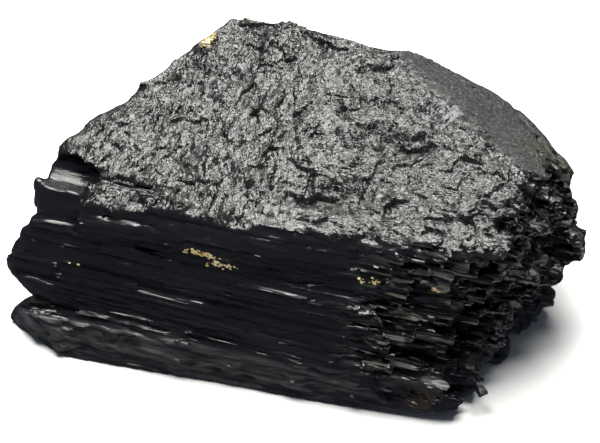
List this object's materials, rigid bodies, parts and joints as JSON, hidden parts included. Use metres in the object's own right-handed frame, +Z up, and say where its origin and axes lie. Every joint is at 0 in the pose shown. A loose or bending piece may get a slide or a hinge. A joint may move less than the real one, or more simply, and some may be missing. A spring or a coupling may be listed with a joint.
{
  "type": "tourmaline crystal",
  "caption": "Hand-sized broken length of black tourmaline with ribbed, striated sides, stepped ends and one sloping rough break.",
  "frame": {"origin": "centre of the bounding box at its lowest level, on the surface that the crystal lies on", "axes": "+X along the crystal's columns, towards the blunter end; -Y towards the striated front; +Z up, towards the ridge of the break"},
  "size_m": [0.1172, 0.0706, 0.0539],
  "materials": {
    "black_tourmaline": "vitreous on the striated sides, rough and glittering on the breaks"
  },
  "bodies": {
    "root": {"tourmaline_crystal": "black_tourmaline"}
  },
  "joints": []
}
